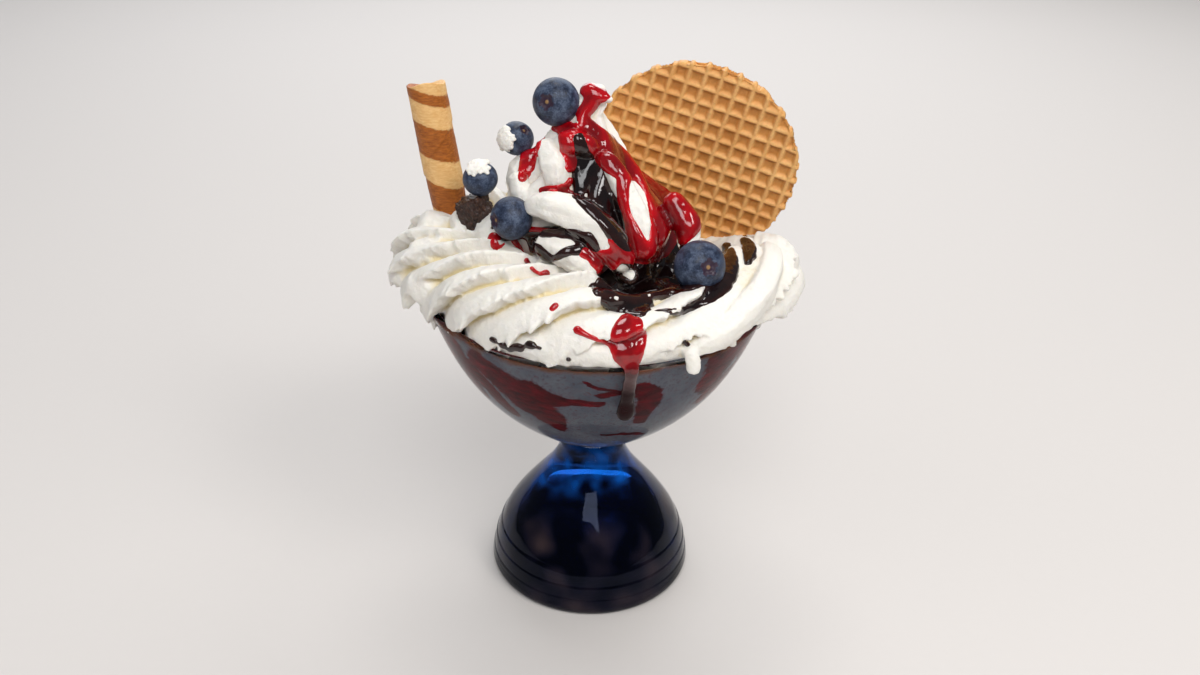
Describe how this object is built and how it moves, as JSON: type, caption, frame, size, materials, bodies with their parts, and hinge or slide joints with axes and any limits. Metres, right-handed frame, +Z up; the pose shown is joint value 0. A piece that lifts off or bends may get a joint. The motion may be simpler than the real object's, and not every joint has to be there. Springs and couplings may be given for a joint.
{
  "type": "ice cream sundae",
  "caption": "Ice cream sundae in a footed glass: piped whipped cream under berry and chocolate sauce, with blueberries, a rolled wafer and a round waffle.",
  "frame": {"origin": "centre of the foot's base, on the surface that the glass stands on", "axes": "+Z up along the glass's axis; -Y towards the side with the sauce drip; +X to the right seen from there, towards the waffle"},
  "size_m": [0.1391, 0.118, 0.1845],
  "materials": {
    "clear_glass": "clear polished glass, slightly grey at its edge",
    "blue_glass": "very dark cobalt blue polished glass",
    "ice_cream": "pale grey-blue ice cream behind glass with smears of red berry sauce",
    "whipped_cream": "soft ivory whipped cream, yellower in its creases",
    "berry_sauce": "wet glossy dark red berry sauce",
    "chocolate_sauce": "wet glossy black-brown chocolate sauce",
    "waffle": "golden baked waffle, browner on its ridges and edge",
    "wafer_roll": "fibrous baked wafer with caramel-brown spiral bands",
    "berry_skin": "dusky blue berry skin with a pale bloom",
    "cake": "crumbly dark chocolate cake"
  },
  "bodies": {
    "root": {"glass_bowl": "clear_glass", "glass_foot": "blue_glass", "ice_cream": "ice_cream", "whipped_cream": "whipped_cream", "waffle": "waffle", "wafer_roll": "wafer_roll", "cake_1": "cake", "cake_2": "cake", "blueberry_1": "berry_skin", "blueberry_2": "berry_skin", "blueberry_3": "berry_skin", "blueberry_4": "berry_skin", "blueberry_5": "berry_skin"}
  },
  "joints": []
}
